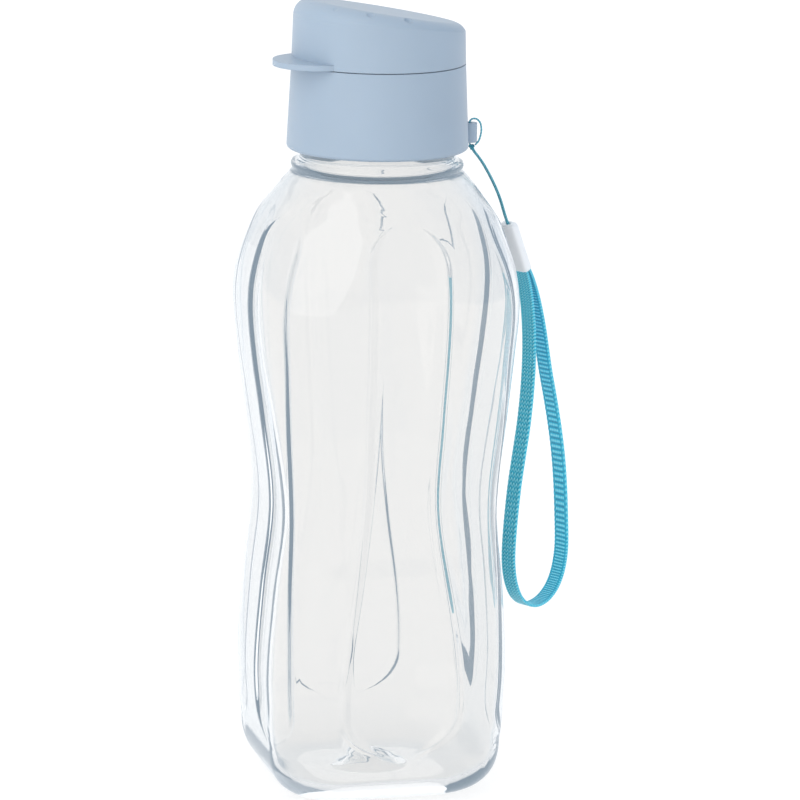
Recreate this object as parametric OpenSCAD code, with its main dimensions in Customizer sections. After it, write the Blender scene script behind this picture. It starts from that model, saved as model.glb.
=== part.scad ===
// Clear sports bottle with a screw cap, a flip-top lid and a woven wrist loop.
// Millimetres. Origin at the centre of the base, +Z up. A broad grip panel faces -Y and the
// strap's lug +X. The screwed-down cap stops with its thumb tab a little past -X.

/* [Bottle] */
// Half the width across the flats of the upper bulge
bulge_half = 34.5; // [33.5:0.5:35.5]
// Half the width across the flats of the waist
waist_half = 28; // [27:0.5:29]
// Half the width across the flats of the belly
belly_half = 31.5; // [30.5:0.5:32.5]
// Thickness of the moulded wall
wall = 1.5; // [1.3:0.1:1.7]
// Depth of the six grip panels
panel_depth = 1.2; // [0.6:0.1:1.4]
// Rise of the dome pushed up into the base
push_up = 2.2; // [1.6:0.2:3]

/* [Neck] */
// Radius of the bore of the neck
neck_bore_r = 17.9; // [17.5:0.1:18.1]
// Outside radius of the neck under its thread
neck_r = 19.6; // [19.4:0.1:19.7]
// Rise of the screw thread in one turn
thread_lead = 5; // [4.8:0.1:5.2]

/* [Cap] */
// Outside radius of the collar at its lower edge
collar_foot_r = 23; // [22.7:0.1:23.1]
// Outside radius of the collar at the parting line
collar_top_r = 22; // [21.9:0.1:22.1]
// Height of the lid's top above the base, on the thumb tab's side
lid_high_z = 204; // [203.5:0.1:204.5]
// Fall of the lid's top from the thumb tab to the hinge
lid_fall = 7.6; // [7:0.1:7.8]
// Number of dimples round the thumb tab's side of the lid's top
dimples = 7; // [3:2:9]
// Reach of the thumb tab from the axis of the bottle
tab_reach = 28.6; // [28:0.2:29]
// Turn of the thumb tab and hinge from the X axis when the cap is screwed down
cap_stop = 14; // [8:1:18]

/* [Wrist loop] */
// Width of the webbing
web_width = 5; // [4.5:0.25:5.5]
// Thickness of the webbing
web_thick = 0.9; // [0.7:0.1:0.9]
// Diameter of the thin cord
cord_d = 0.5; // [0.4:0.05:0.55]

/* [Hidden] */

// Heights up the bottle
base_flat = 17.5;
base_corner = 8;
base_fullness = 2.4;
base_floor = 2;
round_top = 14;
shoulder_z = 161;
shoulder_r = 20.9;
mouth_z = 180.5;
gasket_gap = 0.05;
deck_z = 182;
deck_top_z = 184;
collar_foot_z = 165.2;
collar_rim_z = 187;
part_gap = 0.2;
lid_foot_z = collar_rim_z + part_gap;

// The shell's section at each height: [z, half width across the flats, corner radius]
SECTIONS = [
    [round_top, belly_half - 1.3, 15],
    [22, belly_half - 0.4, 15.9],
    [34, belly_half, 16],
    [54, (belly_half + waist_half) / 2 + 0.4, 14],
    [76, waist_half, 11],
    [100, waist_half + 2.9, 16.3],
    [114, bulge_half - 1.2, 21.2],
    [127, bulge_half, 23.2],
    [136, bulge_half - 0.8, 24.2],
    [146, 30.8, 25.2],
    [154, 26.2, 25],
    [158.5, 22.8, 22.8],
    [shoulder_z, shoulder_r, shoulder_r]
];
// Half width of a broad panel in mm, and half angle of a side panel in degrees: [z, value]
broad_low = 13;
broad_high = 150.5;
BROAD_PANEL = [[broad_low, 16.4], [36, 16.4], [76, 10.6], [100, 10.7], [126, 11.2], [broad_high, 11.2]];
side_low = 15;
side_high = 151;
SIDE_PANEL = [[side_low, 18], [36, 18], [76, 15], [100, 15.2], [126, 15.5], [side_high, 15.5]];
side_panel_at = 62;
// Rounding of the panels' ends, and the angle over which their edges slope in
broad_end = 11;
side_end = 9;
end_slope = 3;
slope_deg = 2.6;

// Value of column k of table t at height z, on a smooth curve through its rows
function row_of(t, z, i = 0) = (i >= len(t) - 2 || z < t[i + 1][0]) ? i : row_of(t, z, i + 1);
function slope_at(t, k, i) =
    let (a = max(i - 1, 0), b = min(i + 1, len(t) - 1))
    (t[b][k] - t[a][k]) / (t[b][0] - t[a][0]);
function smooth(t, k, z) =
    let (i = row_of(t, z), h = t[i + 1][0] - t[i][0], s = min(max((z - t[i][0]) / h, 0), 1),
         m0 = slope_at(t, k, i) * h, m1 = slope_at(t, k, i + 1) * h)
    t[i][k] * (2 * pow(s, 3) - 3 * s * s + 1) + m0 * (pow(s, 3) - 2 * s * s + s)
    + t[i + 1][k] * (3 * s * s - 2 * pow(s, 3)) + m1 * (pow(s, 3) - s * s);

// Fullness of the rounded lower edge, 0 on the base and 1 where the walls start
function edge_fill(z, floor_z) =
    let (u = (round_top - z) / (round_top - floor_z))
    pow(max(1 - pow(u, base_fullness), 0), 1 / base_fullness);
// Half width and corner radius of the shell, inset from its outside surface
function half_at(z, inset, floor_z) = z >= round_top ? smooth(SECTIONS, 1, z) - inset
    : base_flat + (smooth(SECTIONS, 1, round_top) - inset - base_flat) * edge_fill(z, floor_z);
function corner_at(z, inset, floor_z) = z >= round_top ? smooth(SECTIONS, 2, z) - inset
    : base_corner
      + (smooth(SECTIONS, 2, round_top) - inset - base_corner) * edge_fill(z, floor_z);
// Distance from the axis to a rounded square, at an angle from the middle of one side
function square_r(half, corner, angle) =
    let (f = 45 - abs((angle + 360) % 90 - 45), c = half - corner)
    tan(f) * half <= c ? half / cos(f)
    : c * sqrt(2) * cos(45 - f) + sqrt(corner * corner - 2 * pow(c * sin(45 - f), 2));

// How far a panel is open at height z: 0 past its ends, 1 along its length
function opening(z, low, high, round) =
    let (d = min(z - low, high - z))
    d <= 0 ? 0 : d >= round ? 1 : sqrt(1 - pow(1 - d / round, 2));
// Spread of a panel's columns: narrow at its ends, wide along it and where there is no panel
function spread(z, low, high, round) =
    max(opening(z, low, high, round), min(max(low - z, z - high) / 4, 1), 0.35);
function broad_half(z) =
    atan(smooth(BROAD_PANEL, 1, min(max(z, broad_low), broad_high))
         * spread(z, broad_low, broad_high, broad_end)
         / half_at(max(z, round_top), 0, 0));
function side_half(z) =
    smooth(SIDE_PANEL, 1, min(max(z, side_low), side_high))
    * spread(z, side_low, side_high, side_end);

// One quarter of the columns round the shell: [angle from the middle of a broad panel, recess]
function quarter(z) =
    let (a = broad_half(z), s = side_half(z), lo = side_panel_at - s, hi = side_panel_at + s,
         da = opening(z, broad_low, broad_high, end_slope) * panel_depth,
         ds = opening(z, side_low, side_high, end_slope) * panel_depth,
         wa = min(slope_deg, a * 0.3), ws = min(slope_deg, s * 0.25))
    [[0, da], [a / 2, da], [a - wa, da], [a, 0], [(a + lo) / 2, 0], [lo, 0],
     [lo + ws, ds], [lo + s * 0.6, ds], [side_panel_at, ds], [hi - s * 0.6, ds],
     [hi - ws, ds], [hi, 0]];
function columns(z) =
    let (q = quarter(z), n = len(q))
    concat(q, [[90, 0]], [for (i = [n - 1:-1:0]) [180 - q[i][0], q[i][1]]],
           [for (i = [1:n - 1]) [180 + q[i][0], q[i][1]]], [[270, 0]],
           [for (i = [n - 1:-1:1]) [360 - q[i][0], q[i][1]]]);
function ring(z, inset, floor_z) =
    let (half = half_at(z, inset, floor_z), corner = corner_at(z, inset, floor_z))
    [for (c = columns(z))
        let (r = square_r(half, corner, c[0]) - c[1])
        [r * sin(c[0]), -r * cos(c[0]), z]];

// Closed skin through rings of equal length, the first and last closed by flat ends
module skin(rings) {
    n = len(rings[0]);
    last = len(rings) - 1;
    polyhedron(
        points = [for (r = rings) each r],
        faces = concat(
            [[for (j = [0:n - 1]) j]],
            [for (i = [0:last - 1], j = [0:n - 1])
                [i * n + j, (i + 1) * n + j, (i + 1) * n + (j + 1) % n, i * n + (j + 1) % n]],
            [[for (j = [n - 1:-1:0]) last * n + j]]),
        convexity = 8);
}
EDGE_STEPS = [0, 0.05, 0.17, 0.35, 0.6];
WALL_Z = [14, 16.5, 19, 24, 30, 36, 43, 50, 57, 64, 71, 78, 85, 92, 99, 106, 113, 120, 126, 132,
          137, 141.5, 145, 148, 150.4, 153, 155.5, 158.5];
function shell_rings(inset, floor_z) = concat(
    [for (s = EDGE_STEPS) ring(floor_z + s * (round_top - floor_z), inset, floor_z)],
    [for (z = WALL_Z) ring(z, inset, floor_z)]);
// Even ring of as many points, for the round parts
column_step = 7.5;
function disc(r, z) =
    [for (a = [0:column_step:360 - column_step]) [r * sin(a), -r * cos(a), z]];
// Dome pushed up into the base, as rings from its edge to near its middle
dome_r = 9.5;
function dome_rings(lift, grow) =
    [for (r = [dome_r, 7.5, 5, 2.5]) disc(r + grow, lift + push_up * (1 - pow(r / dome_r, 2)))];

// Screw thread ridge on the inside of the collar, rising one lead a turn, its ends run out.
// tooth is [foot radius, crest radius, foot width, crest width]
thread_step = 12;
function thread_ring(a, z, tooth, tip_r) =
    [for (p = [[tooth[0], -tooth[2] / 2], [tip_r, -tooth[3] / 2], [tip_r, tooth[3] / 2],
               [tooth[0], tooth[2] / 2]])
        [p[0] * cos(a), p[0] * sin(a), z + p[1]]];
module thread(start_z, turn, tooth) {
    steps = turn / thread_step;
    skin([for (i = [0:steps])
        let (a = i * thread_step, end = min(i, steps - i, 2) / 2,
             tip_r = tooth[0] + (tooth[1] - tooth[0]) * (0.3 + 0.7 * end))
        thread_ring(a, start_z + thread_lead * a / 360, tooth, tip_r)]);
}
// Height of the neck's own ridge above the neck at an angle and a height, 0 off the ridge
ridge_from_z = 169;
ridge_turn = 576;
ridge_h = 1.3;
function on_ridge(angle, z) =
    let (turns = (z - ridge_from_z) / thread_lead - angle / 360,
         k = min(max(round(turns), 0), angle + 360 <= ridge_turn ? 1 : 0),
         off = abs(turns - k) * thread_lead,
         run = min(angle + 360 * k, ridge_turn - angle - 360 * k) / 24)
    ridge_h * min(max((1.5 - off) / 0.8, 0), 1) * min(max(run, 0), 1);
function ridge_ring(z) =
    [for (a = [0:column_step:360 - column_step])
        let (r = neck_r + on_ridge((a + 270) % 360, z))
        [r * sin(a), -r * cos(a), z]];

bead_z = shoulder_z + 0.2;
bead_r = 20.7;
bead_round = 1.2;
module bottle_body() {
    color([0.86, 0.92, 0.96, 0.45])
        skin(concat(
            [for (r = [3:-1:0]) dome_rings(0, 0)[r]],
            shell_rings(0, 0),
            [for (a = [-60:40:60]) disc(bead_r + bead_round * cos(a), bead_z + bead_round * sin(a))],
            [disc(neck_r + 0.5, bead_z + 1.5), disc(neck_r, bead_z + 2.2)],
            [for (z = [166.6:0.75:178.6]) ridge_ring(z)],
            [disc(neck_r, mouth_z - 0.5), disc(neck_r - 0.5, mouth_z), disc(neck_bore_r + 0.4, mouth_z),
             disc(neck_bore_r, mouth_z - 0.4), disc(neck_bore_r, shoulder_z + 0.5)],
            [for (i = [len(EDGE_STEPS) + len(WALL_Z) - 1:-1:0]) shell_rings(wall, base_floor)[i]],
            dome_rings(base_floor, 1.2)));
}

gasket_r = 20.2;
gasket_bore_r = 16.6;
module neck_gasket() {
    color("white")
        translate([0, 0, mouth_z + gasket_gap])
            difference() {
                cylinder(r = gasket_r, h = deck_z - mouth_z - 2 * gasket_gap, $fn = 96);
                translate([0, 0, -1])
                    cylinder(r = gasket_bore_r, h = 5, $fn = 96);
            }
}

// What turns with the cap, as it stands when it is screwed down
module at_stop() {
    rotate([0, 0, cap_stop])
        children();
}

// Lid hinge: a pin across the back, one knuckle of the lid between two of the collar
hinge_x = 20.3;
hinge_z = 187;
hinge_pin_r = 0.6;
running_gap = 0.05;
knuckle_r = 1.6;
knuckle_clear = 0.3;
lid_knuckle_half = 2.6;
collar_knuckle_in = 2.85;
collar_knuckle_out = 4.6;
notch_half = collar_knuckle_out + 0.3;
notch_z = hinge_z - knuckle_r - knuckle_clear;
// Shallow step in the collar's rim that the lid's back swings over
heel_half = 8.4;
heel_z = 186.2;
notch_x = hinge_x - knuckle_r - knuckle_clear;
lid_back_x = 20.3;
beyond = 12;
module along_hinge(r, from_y, to_y) {
    translate([hinge_x, to_y, hinge_z])
        rotate([90, 0, 0])
            cylinder(r = r, h = to_y - from_y, $fn = 48);
}

collar_inner_r = 21.25;
THREAD_TOOTH = [21.6, 20.05, 2.8, 1.3];
thread_foot_z = 166.6;
thread_turn = 528;
rim_inner_r = 20.3;
foot_round = 0.9;
spout_x = -6;
spout_top_z = 190;
spout_r = 7.2;
spout_bore_r = 5;
lug_x = 24;
lug_root_x = 21.6;
lug_stem = 3.2;
lug_r = 2;
lug_eye_r = 0.75;
lug_z = 166;
lug_h = 4.9;
module collar_form() {
    rotate_extrude($fn = 128)
        polygon(concat(
            [[0, deck_z], [collar_inner_r, deck_z], [collar_inner_r, collar_foot_z]],
            [for (a = [-90:15:0])
                [collar_foot_r - foot_round + foot_round * cos(a),
                 collar_foot_z + foot_round + foot_round * sin(a)]],
            [[collar_top_r, collar_rim_z], [rim_inner_r, collar_rim_z], [rim_inner_r, deck_top_z],
             [0, deck_top_z]]));
}
module collar_knuckle(side) {
    y = side > 0 ? collar_knuckle_in : -collar_knuckle_out;
    wide = collar_knuckle_out - collar_knuckle_in;
    along_hinge(knuckle_r, y, y + wide);
    translate([notch_x + 0.6, y, notch_z - 0.5])
        cube([2.6, wide, knuckle_r + 0.8]);
}
module cap_collar() {
    color([0.67, 0.75, 0.85])
        difference() {
            union() {
                difference() {
                    collar_form();
                    at_stop() {
                        translate([notch_x, -notch_half, notch_z])
                            cube([8, 2 * notch_half, 8]);
                        translate([notch_x, -heel_half, heel_z])
                            cube([8, 2 * heel_half, 8]);
                    }
                }
                at_stop() {
                    collar_knuckle(-1);
                    collar_knuckle(1);
                    translate([spout_x, 0, deck_top_z - 0.5])
                        cylinder(r1 = spout_r, r2 = spout_r - 0.7, h = spout_top_z - deck_top_z + 0.5,
                                 $fn = 64);
                }
                translate([lug_x, 0, lug_z])
                    cylinder(r = lug_r, h = lug_h, $fn = 48);
                translate([lug_root_x, -lug_stem / 2, lug_z])
                    cube([lug_x - lug_root_x, lug_stem, lug_h]);
                thread(thread_foot_z, thread_turn, THREAD_TOOTH);
            }
            at_stop() {
                along_hinge(hinge_pin_r, -beyond, beyond);
                translate([spout_x, 0, deck_z - 1])
                    cylinder(r = spout_bore_r, h = 12, $fn = 64);
            }
            translate([lug_x, 0, lug_z - 1])
                cylinder(r = lug_eye_r, h = lug_h + 2, $fn = 48);
        }
}

module hinge_pin() {
    color("silver")
        at_stop()
            along_hinge(hinge_pin_r, -collar_knuckle_out, collar_knuckle_out);
}

// The lid's top is a plane that falls from the thumb tab to the hinge
lid_slope = atan(lid_fall / (2 * collar_top_r));
lid_mid_z = lid_high_z - lid_fall / 2;
lid_wall = 1.6;
lid_taper = 0.6;
lid_edge = 4;
// Round disc with an eased upper edge, lying along the sloping top, inset on every side. Below
// its edge it widens, so that the lid's cone alone makes the wall.
disc_r = 22.1;
disc_shift = 1;
disc_deep = 34;
disc_flare = 5;
module sloping_disc(inset) {
    r = disc_r - inset;
    translate([0, 0, lid_mid_z - inset])
        rotate([0, lid_slope, 0])
            translate([disc_shift, 0, 0])
                rotate_extrude($fn = 128)
                    polygon(concat([[0, -disc_deep], [r + disc_flare, -disc_deep]],
                        [for (a = [-10:10:90])
                            [r - lid_edge + lid_edge * cos(a), -lid_edge + lid_edge * sin(a)]],
                        [[0, 0]]));
}
module lid_form(inset, foot_z) {
    intersection() {
        translate([0, 0, foot_z])
            cylinder(r1 = collar_top_r - inset, r2 = collar_top_r - inset - lid_taper, h = 20, $fn = 128);
        sloping_disc(inset);
        translate([-30, -30, foot_z])
            cube([30 + lid_back_x - inset, 60, 20]);
    }
}
seal_z = spout_top_z + 0.2;
seal_h = 1.6;
seal_r = 8;
tab_thick = 1.5;
tab_round = 11.5;
dimple_r = 1.3;
dimple_at = 20.1;
dimple_step = 27.7;
// Short tube under the lid's roof that holds the seal
module seal_holder() {
    intersection() {
        lid_form(0.8, lid_foot_z - 0.01);
        translate([spout_x, 0, seal_z + seal_h])
            difference() {
                cylinder(r = seal_r + 0.6, h = 12, $fn = 64);
                translate([0, 0, -1])
                    cylinder(r = seal_r - 1, h = 14, $fn = 64);
            }
    }
}
// The lid's knuckle and the block that ties it to the wall
module lid_knuckle() {
    along_hinge(knuckle_r, -lid_knuckle_half, lid_knuckle_half);
    intersection() {
        lid_form(0, lid_foot_z);
        translate([hinge_x - 3.5, -lid_knuckle_half, lid_foot_z])
            cube([5, 2 * lid_knuckle_half, 3.6]);
    }
}
module flip_lid() {
    color([0.70, 0.78, 0.87])
        at_stop()
            difference() {
                union() {
                    difference() {
                        union() {
                            lid_form(0, lid_foot_z);
                            translate([tab_round - tab_reach, 0, lid_foot_z])
                                cylinder(r = tab_round, h = tab_thick, $fn = 96);
                        }
                        lid_form(lid_wall, lid_foot_z - 0.01);
                        along_hinge(knuckle_r + knuckle_clear, -notch_half, notch_half);
                    }
                    seal_holder();
                    lid_knuckle();
                }
                along_hinge(hinge_pin_r + running_gap, -beyond, beyond);
                for (i = [0:dimples - 1]) {
                    a = (i - (dimples - 1) / 2) * dimple_step;
                    x = -dimple_at * cos(a);
                    translate([x, dimple_at * sin(a), lid_mid_z - x * tan(lid_slope)])
                        sphere(r = dimple_r, $fn = 24);
                }
            }
}
module lid_seal() {
    color("white")
        at_stop()
            translate([spout_x, 0, seal_z])
                cylinder(r = seal_r, h = seal_h, $fn = 64);
}

// Tube of diameter d through hand-placed points, its ends square to the route
function unit(v) = v / norm(v);
function heading(p, i) = unit(p[min(i + 1, len(p) - 1)] - p[max(i - 1, 0)]);
module tube(p, d, side, wide = 1, sides = 8) {
    skin([for (i = [0:len(p) - 1])
        let (t = heading(p, i), u = unit(cross(side, t)), v = cross(t, u))
        [for (k = [0:sides - 1])
            let (a = 360 * k / sides)
            p[i] + (d / 2) * (cos(a) * u + wide * sin(a) * v)]]);
}

// The cord's loop up through the lug's eye, over its top and back to the knot
knot_at = [24.7, 0, 164.7];
knot_r = 0.85;
LOOP_ROUTE = [
    [24.3, 0, 165.7], [24.05, 0, 166.2], [24, 0, 167.2], [24, 0, 169], [24, 0, 170.4], [24.1, 0, 171.2],
    [24.5, 0, 171.7], [25.1, 0, 171.9], [25.8, 0, 171.8], [26.4, 0, 171.4], [26.9, 0, 170.7],
    [27.1, 0, 169.9], [27.2, 0, 169], [27.1, 0, 168], [26.9, 0, 167.1], [26.5, 0, 166.1], [25.8, 0, 165.2]
];
module cord_loop() {
    color([0.35, 0.6, 0.7])
        tube(LOOP_ROUTE, cord_d, [0, 1, 0]);
}
module cord_knot() {
    color([0.2, 0.55, 0.65])
        translate(knot_at)
            sphere(r = knot_r, $fn = 32);
}
// The doubled cord, knot to sleeve, two strands wide
doubled = 1.9;
CORD_ROUTE = [
    [24.7, 0, 164.7], [25.5, 0.2, 163.4], [26.6, 0.6, 162.1], [27.8, 1.2, 160.6], [28.9, 2, 159.1],
    [30, 2.9, 157.5], [31.1, 3.8, 155.8], [32.2, 4.7, 154], [33.2, 5.5, 152.2], [34.1, 6.2, 150.4],
    [34.9, 6.9, 148.6], [35.6, 7.5, 146.8], [36.3, 8, 145], [37, 8.5, 143.4], [37.6, 8.9, 142],
    [38.2, 9.4, 140.4]
];
module strap_cord() {
    color([0.35, 0.65, 0.78])
        tube(CORD_ROUTE, cord_d, strap_wide, doubled);
}

// The wrist loop hangs in an upright plane, turned from the lug's direction. Its points are
// [distance along the plane, height], and the plane's zero is at strap_at.
strap_at = [41.9, 11.5, 0];
strap_turn = 30;
strap_wide = [0.5, -0.866, 0];
SLEEVE_TOP = [-5.3, 0, 143];
SLEEVE_FOOT = [0.5, 0, 130.3];
sleeve_width = 5.2;
sleeve_thick = 2.9;
CORD_SLOT = [1.4, 0.9];
CRIMP = [4.6, 2];
module on_strap_plane() {
    translate(strap_at)
        rotate([0, 0, strap_turn])
            children();
}
// Flat bar with round edges between two points of the plane
module flat_bar(from, to, width, thick) {
    d = to - from;
    translate(from)
        rotate([0, atan2(d[0], d[2]), 0])
            linear_extrude(norm(d))
                union() {
                    square([thick, width - thick], center = true);
                    for (s = [-1, 1])
                        translate([0, s * (width - thick) / 2])
                            circle(r = thick / 2, $fn = 32);
                }
}
function along(from, to, s) = from + (to - from) * s;
module strap_sleeve() {
    color([0.88, 0.9, 0.93, 0.8])
        on_strap_plane()
            difference() {
                flat_bar(SLEEVE_TOP, SLEEVE_FOOT, sleeve_width, sleeve_thick);
                flat_bar(along(SLEEVE_TOP, SLEEVE_FOOT, 0.1), along(SLEEVE_TOP, SLEEVE_FOOT, 1.1),
                         sleeve_width - 0.1, sleeve_thick - 0.8);
                flat_bar(along(SLEEVE_TOP, SLEEVE_FOOT, -0.1), along(SLEEVE_TOP, SLEEVE_FOOT, 0.2),
                         CORD_SLOT[0], CORD_SLOT[1]);
            }
}
module strap_crimp() {
    color("silver")
        on_strap_plane()
            difference() {
                flat_bar(along(SLEEVE_TOP, SLEEVE_FOOT, 0.24), along(SLEEVE_TOP, SLEEVE_FOOT, 0.44),
                         CRIMP[0], CRIMP[1]);
                flat_bar(along(SLEEVE_TOP, SLEEVE_FOOT, 0.14), along(SLEEVE_TOP, SLEEVE_FOOT, 0.33),
                         CORD_SLOT[0], CORD_SLOT[1]);
            }
}
WEB_ROUTE = [
    [-3.2, 137], [-1.6, 133.5], [0, 130], [1.3, 126.5], [2.3, 122.5], [3, 118], [3.5, 113], [3.7, 107.5],
    [3.6, 102], [3.1, 95.5], [2.2, 88.5], [0.8, 81], [-0.6, 73.5], [-1.6, 66], [-2.3, 58.5], [-2.4, 52.5],
    [-1.5, 47.3], [0.5, 43], [3.5, 40.3], [7, 39.3], [10.6, 40], [13.6, 42], [15.8, 45], [17.2, 49],
    [17.8, 54], [17.5, 61], [16.8, 70], [15.7, 78.5], [14, 87], [12, 95], [10.1, 102], [8.6, 108.5],
    [7.2, 114.5], [5.7, 119.7], [4.2, 124], [2.6, 127.6], [1, 130.5], [-0.6, 134], [-2.1, 137.3]
];
module strap_webbing() {
    n = len(WEB_ROUTE);
    route = [for (p = WEB_ROUTE) [p[0], 0, p[1]]];
    color([0.27, 0.7, 0.84])
        on_strap_plane()
            skin([for (i = [0:n - 1])
                let (t = heading(route, i), out = cross([0, 1, 0], t))
                [for (c = [[-1, -1], [1, -1], [1, 1], [-1, 1]])
                    route[i] + out * (c[0] * web_thick / 2) + [0, c[1] * web_width / 2, 0]]]);
}

bottle_body();
neck_gasket();
cap_collar();
hinge_pin();
flip_lid();
lid_seal();
cord_loop();
cord_knot();
strap_cord();
strap_crimp();
strap_sleeve();
strap_webbing();
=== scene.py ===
"""Looks of a clear sports bottle with a pale blue flip-top cap and a turquoise wrist loop."""
from math import atan, cos, pi, radians, sin, sqrt, tan

import bmesh
import bpy
from mathutils import Matrix, Vector


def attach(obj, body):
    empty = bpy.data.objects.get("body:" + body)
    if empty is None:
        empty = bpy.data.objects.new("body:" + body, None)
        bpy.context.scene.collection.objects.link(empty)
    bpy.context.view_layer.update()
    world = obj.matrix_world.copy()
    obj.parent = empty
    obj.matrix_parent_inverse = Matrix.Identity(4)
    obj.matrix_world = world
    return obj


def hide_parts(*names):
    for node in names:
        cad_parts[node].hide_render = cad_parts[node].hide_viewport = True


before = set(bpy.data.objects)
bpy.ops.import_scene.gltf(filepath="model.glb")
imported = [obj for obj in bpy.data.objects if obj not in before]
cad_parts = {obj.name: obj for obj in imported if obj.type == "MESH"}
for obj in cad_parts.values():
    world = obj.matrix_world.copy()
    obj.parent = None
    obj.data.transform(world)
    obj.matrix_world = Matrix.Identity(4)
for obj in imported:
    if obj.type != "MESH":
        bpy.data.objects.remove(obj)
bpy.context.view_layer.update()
mm = 0.001

# Camera: a long lens from a little above, turned slightly to the thumb tab's side, so that the
# bottle fills the frame from its base to the top of its lid.
camera_turn = radians(15)
camera_far = 1.150
camera_high = 0.357
camera_pitch = radians(12.6)
camera_roll = radians(0.9)
aside = 0.0067
camera_data = bpy.data.cameras.new("camera")
camera_data.sensor_width = 36
camera_data.lens = 207.5
camera_data.clip_end = 50
camera = bpy.data.objects.new("camera", camera_data)
camera.location = (-camera_far * sin(camera_turn) + aside * cos(camera_turn),
                   -camera_far * cos(camera_turn) - aside * sin(camera_turn), camera_high)
camera.rotation_euler = (Matrix.Rotation(-camera_turn, 3, "Z")
                         @ Matrix.Rotation(pi / 2 - camera_pitch, 3, "X")
                         @ Matrix.Rotation(camera_roll, 3, "Z")).to_euler()
bpy.context.scene.collection.objects.link(camera)
bpy.context.scene.camera = camera


# Doubled cord: one thin two-ply nylon cord, laid double, runs from the knot under the cap's lug
# into the top of the sleeve. It hangs under the weight of the wrist loop.
CORD_ROUTE = [
    (24.7, 0, 164.7), (25.5, 0.2, 163.4), (26.6, 0.6, 162.1), (27.8, 1.2, 160.6), (28.9, 2, 159.1),
    (30, 2.9, 157.5), (31.1, 3.8, 155.8), (32.2, 4.7, 154), (33.2, 5.5, 152.2), (34.1, 6.2, 150.4),
    (34.9, 6.9, 148.6), (35.6, 7.5, 146.8), (36.3, 8, 145), (37, 8.5, 143.4), (37.6, 8.9, 142),
    (38.2, 9.4, 140.4)]
cord_d = 0.5 * mm
strand_apart = 0.26 * mm
strap_turn = radians(30)
strap_wide = Vector((sin(strap_turn), -cos(strap_turn), 0))
strap_out = Vector((cos(strap_turn), sin(strap_turn), 0))
depth_way = Vector((0, 1, 0))


def eased(points, share):
    """Place at a share of the way along a smooth curve through the points, and its heading."""
    place = share * (len(points) - 1)
    i = min(int(place), len(points) - 2)
    t = place - i
    a, b = points[i], points[i + 1]
    before = points[i - 1] if i else a * 2 - b
    after = points[i + 2] if i + 2 < len(points) else b * 2 - a
    bend, swing = before * 2 - a * 5 + b * 4 - after, a * 3 - before - b * 3 + after
    at = (a * 2 + (b - before) * t + bend * t ** 2 + swing * t ** 3) / 2
    return at, ((b - before) + bend * 2 * t + swing * 3 * t ** 2).normalized()


def piece_from(bm, name):
    """Object from a bmesh, shaded smooth, in place in the row frame."""
    bmesh.ops.remove_doubles(bm, verts=bm.verts, dist=1e-6)
    bmesh.ops.holes_fill(bm, edges=[e for e in bm.edges if e.is_boundary], sides=0)
    bmesh.ops.recalc_face_normals(bm, faces=bm.faces)
    for face in bm.faces:
        face.smooth = True
    mesh = bpy.data.meshes.new(name)
    bm.to_mesh(mesh)
    bm.free()
    made = bpy.data.objects.new(name, mesh)
    bpy.context.scene.collection.objects.link(made)
    return made


def sweep(bm, points, side, rings, sides, section):
    """Wrap a grid round a curve. section gives, for a turn round it and a share of the way
    along it, how far out the skin lies across and up, and its relief for the material."""
    relief = bm.verts.layers.float.get("relief") or bm.verts.layers.float.new("relief")
    for v in bmesh.ops.create_grid(bm, x_segments=sides, y_segments=rings, size=0.5)["verts"]:
        turn, share = v.co.x + 0.5, v.co.y + 0.5
        at, way = eased(points, share)
        across = side.cross(way).normalized()
        out, up, v[relief] = section(turn, share)
        v.co = at + across * out + way.cross(across) * up


def two_ply(radius, twists):
    """Outline of a cord of two plies that twist round each other, waisted between them."""
    def section(turn, share):
        a = 2 * pi * turn
        waist = 0.8 + 0.2 * abs(cos(a - twists * share * pi))
        return cos(a) * radius * waist, sin(a) * radius * waist, (waist - 0.8) / 0.2
    return section


def yarn(name, deep, mid, pale, rough, sheen):
    """Yarn of one dye, with painted shade deep in the gaps and a painted highlight pale on the
    crowns, by the relief of the surface.
    """
    made = bpy.data.materials.new(name)
    made.use_nodes = True
    nodes, links = made.node_tree.nodes, made.node_tree.links
    surface = nodes["Principled BSDF"]
    surface.inputs["Roughness"].default_value = rough
    surface.inputs["Sheen Weight"].default_value = sheen
    surface.inputs["Sheen Roughness"].default_value = 0.4
    relief = nodes.new("ShaderNodeAttribute")
    relief.attribute_name = "relief"
    where = nodes.new("ShaderNodeTexCoord")
    fibres = nodes.new("ShaderNodeTexNoise")
    fibres.inputs["Scale"].default_value = 2200
    uneven = nodes.new("ShaderNodeMath")
    uneven.operation = "MULTIPLY_ADD"
    uneven.inputs[1].default_value = 0.35
    uneven.inputs[2].default_value = -0.17
    total = nodes.new("ShaderNodeMath")
    total.operation = "ADD"
    total.use_clamp = True
    # The ramp paints shade into the gaps between the yarns and a highlight onto their crowns, with
    # a little random unevenness from the fibres.
    shade = nodes.new("ShaderNodeValToRGB")
    shade.color_ramp.elements[0].color = (*deep, 1)
    shade.color_ramp.elements[1].color = (*pale, 1)
    shade.color_ramp.elements.new(0.45).color = (*mid, 1)
    links.new(where.outputs["Object"], fibres.inputs["Vector"])
    links.new(fibres.outputs["Fac"], uneven.inputs[0])
    links.new(uneven.outputs["Value"], total.inputs[0])
    links.new(relief.outputs["Fac"], total.inputs[1])
    links.new(total.outputs["Value"], shade.inputs["Fac"])
    links.new(shade.outputs["Color"], surface.inputs["Base Color"])
    bump = nodes.new("ShaderNodeBump")
    bump.inputs["Strength"].default_value = 0.4
    bump.inputs["Distance"].default_value = 0.00005
    links.new(fibres.outputs["Fac"], bump.inputs["Height"])
    links.new(bump.outputs["Normal"], surface.inputs["Normal"])
    return made


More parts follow.
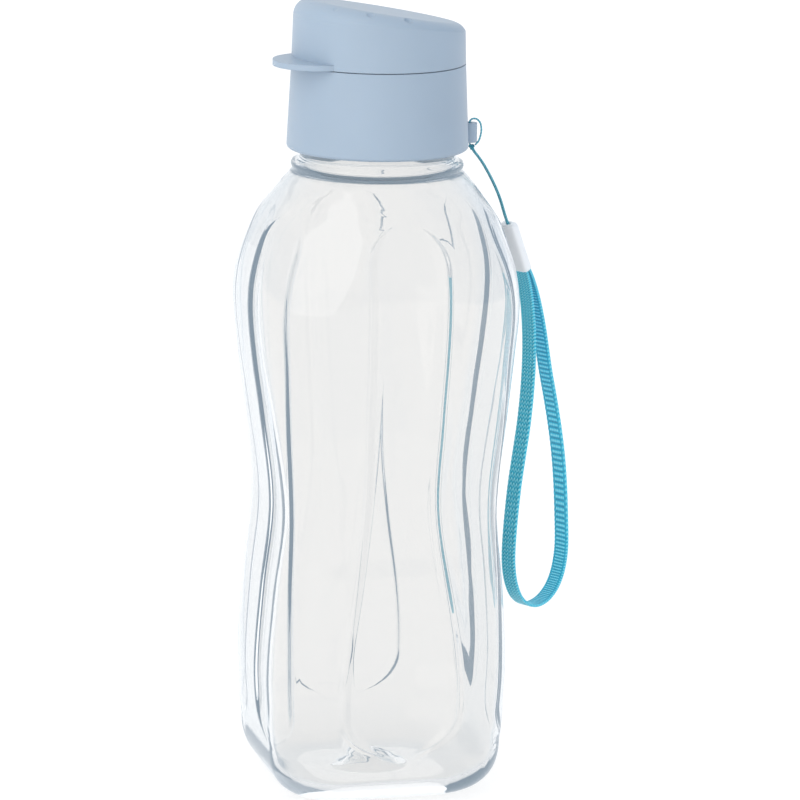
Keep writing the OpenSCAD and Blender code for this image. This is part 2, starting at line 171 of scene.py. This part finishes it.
cord_points = [Vector(p) * mm for p in CORD_ROUTE]
bm = bmesh.new()
for side in (-1, 1):
    lane = [p + strap_wide * side * strand_apart for p in cord_points]
    sweep(bm, lane, depth_way, rings=240, sides=12, section=two_ply(cord_d / 2, twists=40))
cord = piece_from(bm, "cord_strands")
cord_yarn = yarn("cord_nylon", deep=(0.01, 0.16, 0.25), mid=(0.05, 0.34, 0.46),
                 pale=(0.16, 0.52, 0.62), rough=0.45, sheen=0.3)
cord.data.materials.append(cord_yarn)
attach(cord, "strap")
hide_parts("strap_cord")

# Loop: the same cord goes up through the eye of the lug, over its top and back down outside it,
# and both ends go into the knot.
LOOP_ROUTE = [
    (24.3, 0, 165.2), (24.05, 0, 166.2), (24, 0, 167.2), (24, 0, 169), (24, 0, 170.4),
    (24.1, 0, 171.2), (24.5, 0, 171.7), (25.1, 0, 171.9), (25.8, 0, 171.8), (26.4, 0, 171.4),
    (26.9, 0, 170.7), (27.1, 0, 169.9), (27.2, 0, 169), (27.1, 0, 168), (26.9, 0, 167.1),
    (26.5, 0, 166.1), (25.6, 0, 165.1)]
bm = bmesh.new()
sweep(bm, [Vector(p) * mm for p in LOOP_ROUTE], depth_way, rings=140, sides=12,
      section=two_ply(cord_d / 2, twists=20))
loop = piece_from(bm, "lug_loop")
loop.data.materials.append(cord_yarn)
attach(loop, "cap")
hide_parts("cord_loop")

# Knot: an overhand knot of the same cord, a trefoil pulled tight just under the lug. It holds
# the loop's two ends and the top of the doubled cord.
knot_at = Vector((24.7, 0, 164.7)) * mm
knot_size = 0.2 * mm
knot_depth = 1.1
knot_steps = 24
knot_path = []
for i in range(knot_steps + 1):
    a = 2 * pi * i / knot_steps
    trefoil = Vector((sin(a) + 2 * sin(2 * a), -sin(3 * a) * knot_depth, cos(a) - 2 * cos(2 * a)))
    knot_path.append(knot_at + knot_size * trefoil)
bm = bmesh.new()
sweep(bm, knot_path, depth_way, rings=200, sides=12, section=two_ply(cord_d * 0.5, twists=24))
knot = piece_from(bm, "cord_knot_tied")
# The knot's yarn is the cord's with darker colours: painted shade on the tight knot under the lug.
knot.data.materials.append(yarn("knot_nylon_painted_shade", deep=(0.01, 0.12, 0.2), mid=(0.02, 0.24, 0.34),
                                pale=(0.06, 0.38, 0.48), rough=0.45, sheen=0.3))
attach(knot, "strap")
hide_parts("cord_knot")

# Wrist loop: one length of soft braided polyester tape, its two ends laid together in the
# sleeve. Its outer face is a braid of small chevrons, and its inner face has beaded cross ribs
# between two plain selvedges.
WEB_ROUTE = [
    (-3.2, 137), (-1.6, 133.5), (0, 130), (1.3, 126.5), (2.3, 122.5), (3, 118), (3.5, 113),
    (3.7, 107.5), (3.6, 102), (3.1, 95.5), (2.2, 88.5), (0.8, 81), (-0.6, 73.5), (-1.6, 66),
    (-2.3, 58.5), (-2.4, 52.5), (-1.5, 47.3), (0.5, 43), (3.5, 40.3), (7, 39.3), (10.6, 40),
    (13.6, 42), (15.8, 45), (17.2, 49), (17.8, 54), (17.5, 61), (16.8, 70), (15.7, 78.5), (14, 87),
    (12, 95), (10.1, 102), (8.6, 108.5), (7.2, 114.5), (5.7, 119.7), (4.2, 124), (2.6, 127.6),
    (1, 130.5), (-0.6, 134), (-2.1, 137.3)]
strap_at = Vector((41.9, 11.5, 0)) * mm
web_width = 5 * mm
web_thick = 0.9 * mm
chevron_columns = 5
chevron_pitch = 0.95 * mm
rib_pitch = 1.0 * mm
rib_half = 1.55 * mm
bead_pitch = 0.62 * mm
yarn_deep = 0.17 * mm
web_points = [strap_at + strap_out * along * mm + Vector((0, 0, z * mm)) for along, z in WEB_ROUTE]
web_length = sum((b - a).length for a, b in zip(web_points, web_points[1:]))


def bump_of(x):
    """Smooth rise and fall between 0 and 1, once for each whole step of x."""
    return 0.5 + 0.5 * cos(2 * pi * x)


def braid(across, along):
    """Relief of the outer face: columns of leaning stitches, each pair making a chevron."""
    column = (across / web_width + 0.5) * chevron_columns * 2
    lean = (column % 1) if int(column) % 2 else 1 - (column % 1)
    stitch = bump_of(along / chevron_pitch - lean * 0.85)
    groove = min(1, 3.2 * min(column % 2, 2 - column % 2))
    return (0.12 + 0.88 * stitch) * (0.3 + 0.7 * groove)


def ribs(across, along):
    """Relief of the inner face: beaded cross ribs in the middle, fine selvedges outside."""
    if abs(across) > rib_half:
        return 0.18 + 0.2 * bump_of(along / chevron_pitch + abs(across) / web_width * 3)
    beads = 0.55 + 0.45 * bump_of(across / bead_pitch)
    return 0.06 + 0.94 * bump_of(along / rib_pitch) * beads


def tape(turn, share):
    """Flat outline with rounded edges, the yarns standing up from it."""
    along = share * web_length
    half = web_thick / 2
    flat = web_width - web_thick
    walk = turn * 2 * (flat + pi * half)
    if walk < flat:
        across, out = walk - flat / 2, 1
    elif walk < flat + pi * half:
        a = (walk - flat) / half
        across, out = flat / 2 + half * sin(a), cos(a)
    elif walk < 2 * flat + pi * half:
        across, out = 1.5 * flat + pi * half - walk, -1
    else:
        a = (walk - 2 * flat - pi * half) / half
        across, out = -flat / 2 - half * sin(a), -cos(a)
    front, back = braid(across, along), ribs(across, along)
    relief = front if out > 0 else back
    if abs(out) < 1:
        relief = 0.3 + 0.5 * bump_of(along / chevron_pitch)
    sunk = yarn_deep * (1 - relief)
    return out * (half - sunk), across * (1 - sunk * (1 - abs(out)) / half), relief


bm = bmesh.new()
sweep(bm, web_points, -strap_wide, rings=1300, sides=60, section=tape)
webbing = piece_from(bm, "wrist_webbing")
webbing.data.materials.append(yarn("turquoise_polyester", deep=(0, 0.22, 0.4),
                                   mid=(0.03, 0.62, 0.84), pale=(0.42, 0.92, 1),
                                   rough=0.5, sheen=0.5))
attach(webbing, "strap")
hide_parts("strap_webbing")

# Sleeve: a short flat tube of milky soft plastic, pressed over the tape's two ends and the
# crimp. The cord comes out of a small slot in its rounded top.
sleeve_top = strap_at + strap_out * -5.3 * mm + Vector((0, 0, 143 * mm))
sleeve_foot = strap_at + strap_out * 0.5 * mm + Vector((0, 0, 130.3 * mm))
sleeve_way = (sleeve_foot - sleeve_top).normalized()
sleeve_front = sleeve_way.cross(strap_wide)
sleeve_long = (sleeve_foot - sleeve_top).length / mm
SLEEVE_PROFILE = [
    (0.8, 0.5, 1.6), (0.7, 0.42, 0.9), (0.7, 0.42, 0.25), (0.78, 0.5, 0.06), (1.5, 0.8, 0),
    (2.05, 1.05, 0.06), (2.35, 1.25, 0.3), (2.52, 1.38, 0.75), (2.58, 1.43, 1.4),
    (2.6, 1.45, 2.4), (2.6, 1.45, sleeve_long - 0.35), (2.57, 1.42, sleeve_long - 0.08),
    (2.5, 1.36, sleeve_long), (2.45, 1.15, sleeve_long - 0.05), (2.44, 1.08, sleeve_long - 0.4),
    (2.44, 1.05, 3), (1.4, 0.8, 2), (0.8, 0.5, 1.6)]


def skinned(name, rings):
    """Skin over rings of points, drawn out ring by ring from a circle."""
    bm = bmesh.new()
    rim = bmesh.ops.create_circle(bm, segments=len(rings[0]), radius=1)["verts"]
    edge = list(bm.edges)
    for v, p in zip(rim, rings[0]):
        v.co = p
    for ring in rings[1:]:
        grown = bmesh.ops.extrude_edge_only(bm, edges=edge)["geom"]
        fresh = {v for v in grown if isinstance(v, bmesh.types.BMVert)}
        edge = [e for e in grown if isinstance(e, bmesh.types.BMEdge) and fresh.issuperset(e.verts)]
        rim = [next(w for e in v.link_edges for w in e.verts if w in fresh) for v in rim]
        for v, p in zip(rim, ring):
            v.co = p
    return piece_from(bm, name)


def squarish(x):
    """A cosine pushed outward, which turns an ellipse into a rounded oblong."""
    return abs(x) ** 0.55 * (1 if x > 0 else -1)


sleeve_sides = 64
sleeve_rings = []
for wide, thick, down in SLEEVE_PROFILE:
    ring = []
    for i in range(sleeve_sides):
        a = 2 * pi * i / sleeve_sides
        ring.append(sleeve_top + sleeve_way * down * mm + strap_wide * squarish(cos(a)) * wide * mm
                    + sleeve_front * squarish(sin(a)) * thick * mm)
    sleeve_rings.append(ring)
sleeve = skinned("milky_sleeve", sleeve_rings)
milky = bpy.data.materials.new("milky_soft_plastic")
milky.use_nodes = True
nodes, links = milky.node_tree.nodes, milky.node_tree.links
surface = nodes["Principled BSDF"]
surface.inputs["Base Color"].default_value = (0.93, 0.96, 1, 1)
surface.inputs["Roughness"].default_value = 0.32
# A faint pale blue emission is a painted glow, lifting the sleeve as if light came through it.
surface.inputs["Emission Color"].default_value = (0.8, 0.9, 1, 1)
surface.inputs["Emission Strength"].default_value = 0.02
surface.inputs["Subsurface Weight"].default_value = 0.4
surface.inputs["Subsurface Radius"].default_value = (0.002, 0.002, 0.002)
where = nodes.new("ShaderNodeTexCoord")
cloud = nodes.new("ShaderNodeTexNoise")
cloud.inputs["Scale"].default_value = 500
bump = nodes.new("ShaderNodeBump")
bump.inputs["Strength"].default_value = 0.15
bump.inputs["Distance"].default_value = 0.0002
links.new(where.outputs["Object"], cloud.inputs["Vector"])
links.new(cloud.outputs["Fac"], bump.inputs["Height"])
links.new(bump.outputs["Normal"], surface.inputs["Normal"])
sleeve.data.materials.append(milky)
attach(sleeve, "strap")
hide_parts("strap_sleeve")

# Shell: one blow-moulded piece of clear stiff plastic, an hourglass on a rounded-square section
# with six sunk grip panels, a domed base, and a round neck with a bead and a screw thread.
# (height, half width across the flats, corner radius)
SECTIONS = [(14, 30.2, 15), (22, 31.4, 15.9), (34, 32, 16), (54, 30.7, 14), (76, 28.6, 11),
            (100, 31.5, 16.3), (114, 33.6, 21.2), (127, 34.8, 23.2), (136, 34, 24.2),
            (146, 30.8, 25.2), (154, 26.2, 25), (158.5, 22.8, 22.8), (161, 20.9, 20.9)]
# Half width of a broad panel in mm and half angle of a side panel in degrees: (height, value)
BROAD_PANEL = [(13, 16.4), (36, 16.4), (76, 10.6), (100, 10.7), (126, 11.2), (150.5, 11.2)]
SIDE_PANEL = [(15, 18), (36, 18), (76, 15), (100, 15.2), (126, 15.5), (151, 15.5)]
broad_low, broad_high, broad_round, broad_ramp = 13, 150.5, 11, 5
side_low, side_high, side_round, side_ramp = 15, 151.5, 9, 11
side_panel_at = 62
broad_depth, side_depth = 1.2, 0.9
outer_slope, inner_slope = 2.2, 6
wall = 1.5
base_flat, base_corner, base_floor, base_fullness, round_top = 17.5, 8, 3, 2.4, 14
dome_r, dome_h = 9.5, 4.8
neck_r, neck_bore_r, mouth_z = 19.6, 17.9, 180.5


def smooth(table, z, k=1):
    """Value of a table's column at a height, on a smooth curve through its rows."""
    i = 0
    while i < len(table) - 2 and z >= table[i + 1][0]:
        i += 1

    def slope(j):
        a, b = table[max(j - 1, 0)], table[min(j + 1, len(table) - 1)]
        return (b[k] - a[k]) / (b[0] - a[0])
    h = table[i + 1][0] - table[i][0]
    s = min(max((z - table[i][0]) / h, 0), 1)
    return (table[i][k] * (2 * s ** 3 - 3 * s ** 2 + 1) + slope(i) * h * (s ** 3 - 2 * s ** 2 + s)
            + table[i + 1][k] * (3 * s ** 2 - 2 * s ** 3) + slope(i + 1) * h * (s ** 3 - s ** 2))


def ease(x):
    """Smooth step from 0 to 1."""
    x = min(max(x, 0), 1)
    return x * x * (3 - 2 * x)


def edge_fill(z, floor):
    """Fullness of the rounded lower edge, 0 on the base and 1 where the walls start."""
    below = (round_top - z) / (round_top - floor)
    return max(1 - below ** base_fullness, 0) ** (1 / base_fullness)


def section_at(z, inset, floor):
    """Half width and corner radius of the shell at a height, inset from its outside."""
    if z >= round_top:
        return smooth(SECTIONS, z) - inset, smooth(SECTIONS, z, 2) - inset
    fill = edge_fill(z, floor)
    return (base_flat + (smooth(SECTIONS, round_top) - inset - base_flat) * fill,
            base_corner + (smooth(SECTIONS, round_top, 2) - inset - base_corner) * fill)


def square_r(half, corner, angle):
    """Distance from the axis to a rounded square, at an angle from the middle of one side."""
    f, c = radians(45 - abs(angle % 90 - 45)), half - corner
    if tan(f) * half <= c:
        return half / cos(f)
    return c * sqrt(2) * cos(pi / 4 - f) + sqrt(corner ** 2 - 2 * (c * sin(pi / 4 - f)) ** 2)


def opening(z, low, high, rounding):
    """How far a panel is open at a height: 0 past its rounded ends, 1 along its length."""
    d = min(z - low, high - z)
    return 0 if d <= 0 else 1 if d >= rounding else sqrt(1 - (1 - d / rounding) ** 2)


def columns(z, slope):
    """(angle, recess) all round the shell at a height, closer together on the panels' edges,
    which slope in over so many degrees."""
    def spread(low, high, rounding):
        return max(opening(z, low, high, rounding), min(max(low - z, z - high) / 4, 1), 0.3)
    a = atan(smooth(BROAD_PANEL, min(max(z, broad_low), broad_high))
             * spread(broad_low, broad_high, broad_round)
             / section_at(max(z, round_top), 0, 0)[0]) * 180 / pi
    s = (smooth(SIDE_PANEL, min(max(z, side_low), side_high))
         * spread(side_low, side_high, side_round))
    broad = ease(min(z - broad_low, broad_high - z) / broad_ramp) * broad_depth
    side = ease(min(z - side_low, side_high - z) / side_ramp) * side_depth
    wa, ws = min(slope, a * 0.5), min(slope, s * 0.45)
    lo, hi = side_panel_at - s, side_panel_at + s
    zones = [(0, a - wa, 8, broad, broad), (a - wa, a, 6, broad, 0), (a, lo, 8, 0, 0),
             (lo, lo + ws, 6, 0, side), (lo + ws, hi - ws, 16, side, side),
             (hi - ws, hi, 6, side, 0), (hi, 90, 5, 0, 0)]
    quarter = []
    for start, end, count, d0, d1 in zones:
        for i in range(count):
            t = i / count
            quarter.append((start + (end - start) * t, d0 + (d1 - d0) * ease(t)))
    back = [(180 - x, d) for x, d in reversed(quarter[1:])]
    half = quarter + [(90, 0)] + back
    return half + [(180, broad)] + [(360 - x, d) for x, d in reversed(half[1:])]


column_count = len(columns(50, 3))
thread_from, thread_turn, thread_h, lead = 169, 576, 1.3, 5
thread_half, thread_flank, thread_run_out = 1.5, 0.9, 24


def ridge(angle, z):
    """Height of the screw thread's ridge on the neck at an angle and a height."""
    turns = (z - thread_from) / lead - angle / 360
    k = min(max(round(turns), 0), 1 if angle + 360 <= thread_turn else 0)
    off = abs(turns - k) * lead
    run = min(angle + 360 * k, thread_turn - angle - 360 * k) / thread_run_out
    return thread_h * ease((thread_half - off) / thread_flank) * min(max(run, 0), 1)


def even(r, z):
    """Round ring of the shell's column count."""
    ring = []
    for i in range(column_count):
        a = 2 * pi * i / column_count
        ring.append((r * sin(a), -r * cos(a), z))
    return ring


def walled(z, inset, floor):
    """Ring of the body's wall with its panels sunk in."""
    half, corner = section_at(z, inset, floor)
    ring = []
    for angle, recess in columns(z, inner_slope if inset else outer_slope):
        r = square_r(half, corner, angle) - recess
        a = radians(angle)
        ring.append((r * sin(a), -r * cos(a), z))
    return ring


def threaded(z):
    """Ring of the neck with its screw thread."""
    ring = []
    for i in range(column_count):
        a = 360 * i / column_count
        r = neck_r + ridge((a + 270) % 360, z)
        ring.append((r * sin(radians(a)), -r * cos(radians(a)), z))
    return ring


def dome(lift, grow):
    """Rings of the dome pushed up into the base, from its edge to near its flattened middle."""
    steps = 8
    return [even((dome_r + grow) * (1 - i / steps), lift + dome_h * ease(i / steps * 1.15))
            for i in range(steps)]


def blended(a, b, share):
    """Ring a share of the way from one ring to another."""
    return [tuple(p + (q - p) * share for p, q in zip(u, v)) for u, v in zip(a, b)]


def heights(low, high, step):
    """Even heights from low to high, about a step apart."""
    count = round((high - low) / step)
    return [low + (high - low) * i / count for i in range(count + 1)]


def wall_rings(inset, floor):
    """Rings of the body from its rounded lower edge up to the shoulder."""
    foot = [walled(floor + (round_top - floor) * (1 - cos(radians(a))), inset, floor)
            for a in range(0, 90, 6)]
    return foot + [walled(z, inset, floor) for z in heights(round_top, 158.5, 1.35)]


outside = wall_rings(0, 0)
inside = wall_rings(wall, base_floor)
bead_r, bead_round, bead_z = 20.7, 1.2, 161.2
bead = [even(bead_r + bead_round * cos(radians(a)), bead_z + bead_round * sin(radians(a)))
        for a in range(-60, 61, 12)]
shell_rings = (
    dome(0, 0)[::-1]
    + [blended(dome(0, 0)[0], outside[0], 0.04), blended(dome(0, 0)[0], outside[0], 0.5)]
    + outside + [blended(outside[-1], bead[0], 0.5)] + bead
    + [even(neck_r + 0.5, 162.7), even(neck_r + 0.1, 163.2), even(neck_r, 164)]
    + [threaded(z) for z in heights(166.4, 178.8, 0.3)]
    + [even(neck_r, 179.9), even(neck_r - 0.12, 180.25), even(neck_r - 0.4, mouth_z),
       even(neck_bore_r + 0.4, mouth_z), even(neck_bore_r + 0.1, 180.35), even(neck_bore_r, 180)]
    + [even(neck_bore_r, z) for z in heights(178, 162, 2)]
    + [blended(even(neck_bore_r, 161), inside[-1], share) for share in (0.0, 0.35, 0.7)]
    + inside[::-1]
    + [blended(inside[0], dome(base_floor, 1.2)[0], 0.5)]
    + dome(base_floor, 1.2))


shell = skinned("clear_shell", [[Vector(p) * mm for p in ring] for ring in shell_rings])
clear = bpy.data.materials.new("clear_copolyester")
clear.use_nodes = True
nodes, links = clear.node_tree.nodes, clear.node_tree.links
surface = nodes["Principled BSDF"]
surface.inputs["Transmission Weight"].default_value = 1
surface.inputs["Roughness"].default_value = 0.02
surface.inputs["IOR"].default_value = 1.48
# A faint blue emission is a painted glow that lifts the whole shell and turns its dark lines blue.
surface.inputs["Emission Color"].default_value = (0.6, 0.8, 1, 1)
surface.inputs["Emission Strength"].default_value = 0.055
# The ramp keeps a warm grey colour of the plastic where the surface is seen face on, and paints
# blue grey shade where it is seen edgeways.
edgeways = nodes.new("ShaderNodeLayerWeight")
edgeways.inputs["Blend"].default_value = 0.35
tint_and_edge_shade = nodes.new("ShaderNodeValToRGB")
tint_and_edge_shade.color_ramp.elements[0].color = (0.82, 0.797, 0.77, 1)
tint_and_edge_shade.color_ramp.elements[0].position = 0.35
tint_and_edge_shade.color_ramp.elements[1].color = (0.64, 0.72, 0.8, 1)
links.new(edgeways.outputs["Facing"], tint_and_edge_shade.inputs["Fac"])
links.new(tint_and_edge_shade.outputs["Color"], surface.inputs["Base Color"])
shell.data.materials.append(clear)
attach(shell, "bottle")
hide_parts("bottle_body")

# Cap: collar and lid are moulded in satin pale blue plastic, with a faint spark-eroded grain.
# The collar screws down on the neck, and the lid turns on a steel pin at its back.


def moulded(name, colour, rough, grain_size, depth):
    """Satin moulded plastic with a faint grain, slightly uneven in shade."""
    made = bpy.data.materials.new(name)
    made.use_nodes = True
    nodes, links = made.node_tree.nodes, made.node_tree.links
    surface = nodes["Principled BSDF"]
    surface.inputs["Roughness"].default_value = rough
    surface.inputs["Subsurface Weight"].default_value = 0.15
    surface.inputs["Subsurface Radius"].default_value = (0.001, 0.0015, 0.002)
    where = nodes.new("ShaderNodeTexCoord")
    flow = nodes.new("ShaderNodeTexNoise")
    flow.inputs["Scale"].default_value = 60
    shade = nodes.new("ShaderNodeValToRGB")
    shade.color_ramp.elements[0].color = (*(c * 0.96 for c in colour), 1)
    shade.color_ramp.elements[1].color = (*(min(c * 1.04, 1) for c in colour), 1)
    grain = nodes.new("ShaderNodeTexNoise")
    grain.inputs["Scale"].default_value = grain_size
    soft_edge = nodes.new("ShaderNodeBevel")
    soft_edge.inputs["Radius"].default_value = 0.0003
    bump = nodes.new("ShaderNodeBump")
    bump.inputs["Strength"].default_value = 0.25
    bump.inputs["Distance"].default_value = depth
    links.new(where.outputs["Object"], flow.inputs["Vector"])
    links.new(flow.outputs["Fac"], shade.inputs["Fac"])
    links.new(shade.outputs["Color"], surface.inputs["Base Color"])
    links.new(where.outputs["Object"], grain.inputs["Vector"])
    links.new(grain.outputs["Fac"], bump.inputs["Height"])
    links.new(soft_edge.outputs["Normal"], bump.inputs["Normal"])
    links.new(bump.outputs["Normal"], surface.inputs["Normal"])
    return made


def dress(node, material):
    """Put one material on a CAD node."""
    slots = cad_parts[node].data.materials
    slots.clear()
    slots.append(material)


dress("cap_collar", moulded("cap_pale_blue", (0.356, 0.445, 0.545), rough=0.4, grain_size=2400,
                            depth=0.00004))
dress("flip_lid", moulded("lid_pale_blue", (0.36, 0.45, 0.55), rough=0.4, grain_size=2400,
                          depth=0.00004))

# Seals: the neck gasket under the collar's deck and the disc under the lid's roof are soft
# white silicone.
silicone = moulded("white_silicone", (0.8, 0.82, 0.83), rough=0.6, grain_size=900, depth=0.00003)
dress("neck_gasket", silicone)
dress("lid_seal", silicone)

# Steel: the hinge pin is drawn wire, and the crimp inside the sleeve is bent from strip.
steel = bpy.data.materials.new("drawn_steel")
steel.use_nodes = True
nodes, links = steel.node_tree.nodes, steel.node_tree.links
surface = nodes["Principled BSDF"]
surface.inputs["Base Color"].default_value = (0.62, 0.63, 0.64, 1)
surface.inputs["Metallic"].default_value = 1
where = nodes.new("ShaderNodeTexCoord")
drawn = nodes.new("ShaderNodeTexNoise")
drawn.inputs["Scale"].default_value = 1800
wear = nodes.new("ShaderNodeMapRange")
wear.inputs["To Min"].default_value = 0.22
wear.inputs["To Max"].default_value = 0.42
links.new(where.outputs["Object"], drawn.inputs["Vector"])
links.new(drawn.outputs["Fac"], wear.inputs["Value"])
links.new(wear.outputs["Result"], surface.inputs["Roughness"])
dress("hinge_pin", steel)
dress("strap_crimp", steel)

# Floor and light: a white floor, a white room that falls off to blue grey at both sides, and a
# broad soft light high on the left.
bm = bmesh.new()
bmesh.ops.create_circle(bm, cap_ends=True, segments=96, radius=8)
floor = piece_from(bm, "floor")
paper = bpy.data.materials.new("white_floor")
paper.use_nodes = True
surface = paper.node_tree.nodes["Principled BSDF"]
surface.inputs["Base Color"].default_value = (0.25, 0.25, 0.25, 1)
surface.inputs["Roughness"].default_value = 0.9
surface.inputs["Emission Color"].default_value = (1, 1, 1, 1)
surface.inputs["Emission Strength"].default_value = 0.82
floor.data.materials.append(paper)

world = bpy.data.worlds.new("studio")
world.use_nodes = True
nodes, links = world.node_tree.nodes, world.node_tree.links
room = nodes["Background"]
room.inputs["Strength"].default_value = 1
backdrop = nodes.new("ShaderNodeBackground")
backdrop.inputs["Color"].default_value = (1, 1, 1, 1)
where = nodes.new("ShaderNodeTexCoord")
turned = nodes.new("ShaderNodeMapping")
turned.inputs["Rotation"].default_value = (0, 0, camera_turn)
split = nodes.new("ShaderNodeSeparateXYZ")
sides = nodes.new("ShaderNodeMapRange")
sides.inputs["From Min"].default_value = -1
shade = nodes.new("ShaderNodeValToRGB")
shade.color_ramp.elements[0].color = (0.6, 0.7, 0.82, 1)
shade.color_ramp.elements[1].color = (0.42, 0.52, 0.66, 1)
for place, tone in ((0.12, (0.95, 0.97, 1)), (0.35, (0.95, 0.955, 0.96)),
                    (0.65, (0.93, 0.94, 0.95)), (0.86, (0.62, 0.7, 0.8))):
    shade.color_ramp.elements.new(place).color = (*tone, 1)
path = nodes.new("ShaderNodeLightPath")
either = nodes.new("ShaderNodeMixShader")
links.new(where.outputs["Generated"], turned.inputs["Vector"])
links.new(turned.outputs["Vector"], split.inputs["Vector"])
links.new(split.outputs["X"], sides.inputs["Value"])
links.new(sides.outputs["Result"], shade.inputs["Fac"])
links.new(shade.outputs["Color"], room.inputs["Color"])
links.new(path.outputs["Is Camera Ray"], either.inputs["Fac"])
links.new(room.outputs["Background"], either.inputs[1])
links.new(backdrop.outputs["Background"], either.inputs[2])
links.new(either.outputs["Shader"], nodes["World Output"].inputs["Surface"])
bpy.context.scene.world = world

lamp_data = bpy.data.lights.new("softbox", "AREA")
lamp_data.shape = "DISK"
lamp_data.size = 3
lamp_data.energy = 14
lamp = bpy.data.objects.new("softbox", lamp_data)
lamp.location = (-1.3, -0.9, 0.9)
lamp.rotation_euler = (Vector((0, 0, 0.12)) - lamp.location).to_track_quat("-Z", "Y").to_euler()
bpy.context.scene.collection.objects.link(lamp)
bpy.context.scene.view_settings.view_transform = "Standard"
